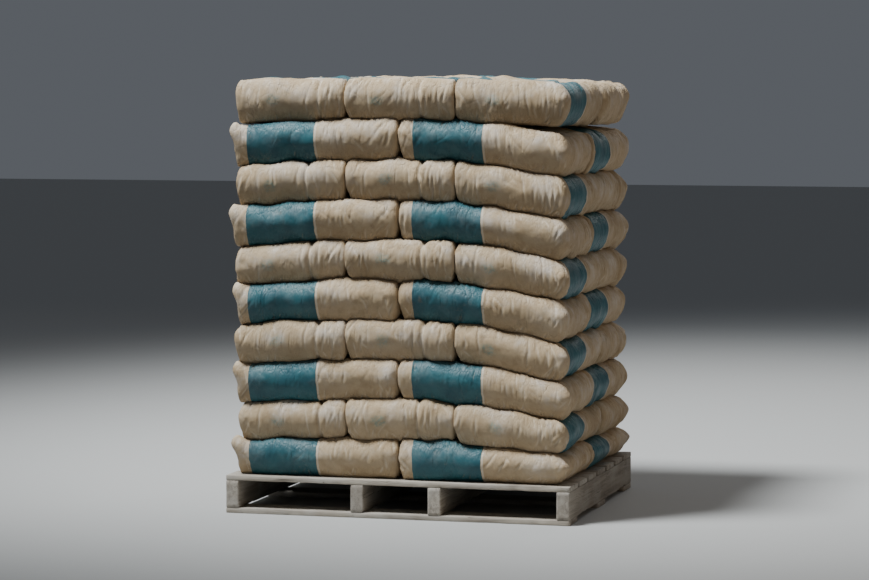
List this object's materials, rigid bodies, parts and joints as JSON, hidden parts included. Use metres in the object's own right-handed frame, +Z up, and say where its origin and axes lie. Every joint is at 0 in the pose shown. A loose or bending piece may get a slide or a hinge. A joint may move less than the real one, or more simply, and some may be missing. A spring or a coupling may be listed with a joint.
{
  "type": "pallet of sacks",
  "caption": "Wooden stringer pallet loaded with interlocked layers of filled kraft paper sacks, each with a plain coloured band near one end.",
  "frame": {"origin": "on the floor, under the middle of the pallet", "axes": "+X to the right along the pallet's front, its long side; +Y to the back, the way the stringers and the fork openings run; +Z up"},
  "size_m": [1.2, 1, 1.4778],
  "materials": {
    "sack_paper": "matt kraft paper, dusty and creased, with a printed teal band near one end of each sack",
    "pallet_wood": "rough sawn, weathered grey"
  },
  "bodies": {
    "root": {"sack_01_front_left": "sack_paper", "sack_01_front_right": "sack_paper", "sack_01_back_left": "sack_paper", "sack_01_back_middle": "sack_paper", "sack_01_back_right": "sack_paper", "sack_02_front_left": "sack_paper", "sack_02_front_middle": "sack_paper", "sack_02_front_right": "sack_paper", "sack_02_back_left": "sack_paper", "sack_02_back_right": "sack_paper", "sack_03_front_left": "sack_paper", "sack_03_front_right": "sack_paper", "sack_03_back_left": "sack_paper", "sack_03_back_middle": "sack_paper", "sack_03_back_right": "sack_paper", "sack_04_front_left": "sack_paper", "sack_04_front_middle": "sack_paper", "sack_04_front_right": "sack_paper", "sack_04_back_left": "sack_paper", "sack_04_back_right": "sack_paper", "sack_05_front_left": "sack_paper", "sack_05_front_right": "sack_paper", "sack_05_back_left": "sack_paper", "sack_05_back_middle": "sack_paper", "sack_05_back_right": "sack_paper", "sack_06_front_left": "sack_paper", "sack_06_front_middle": "sack_paper", "sack_06_front_right": "sack_paper", "sack_06_back_left": "sack_paper", "sack_06_back_right": "sack_paper", "sack_07_front_left": "sack_paper", "sack_07_front_right": "sack_paper", "sack_07_back_left": "sack_paper", "sack_07_back_middle": "sack_paper", "sack_07_back_right": "sack_paper", "sack_08_front_left": "sack_paper", "sack_08_front_middle": "sack_paper", "sack_08_front_right": "sack_paper", "sack_08_back_left": "sack_paper", "sack_08_back_right": "sack_paper", "sack_09_front_left": "sack_paper", "sack_09_front_right": "sack_paper", "sack_09_back_left": "sack_paper", "sack_09_back_middle": "sack_paper", "sack_09_back_right": "sack_paper", "sack_10_front_left": "sack_paper", "sack_10_front_middle": "sack_paper", "sack_10_front_right": "sack_paper", "sack_10_back_left": "sack_paper", "sack_10_back_right": "sack_paper", "stringer_left": "pallet_wood", "stringer_inner_left": "pallet_wood", "stringer_inner_right": "pallet_wood", "stringer_right": "pallet_wood", "bottom_board_front": "pallet_wood", "bottom_board_middle": "pallet_wood", "bottom_board_back": "pallet_wood", "deck_board_front": "pallet_wood", "deck_board_back": "pallet_wood", "deck_boards_middle": "pallet_wood"}
  },
  "joints": []
}
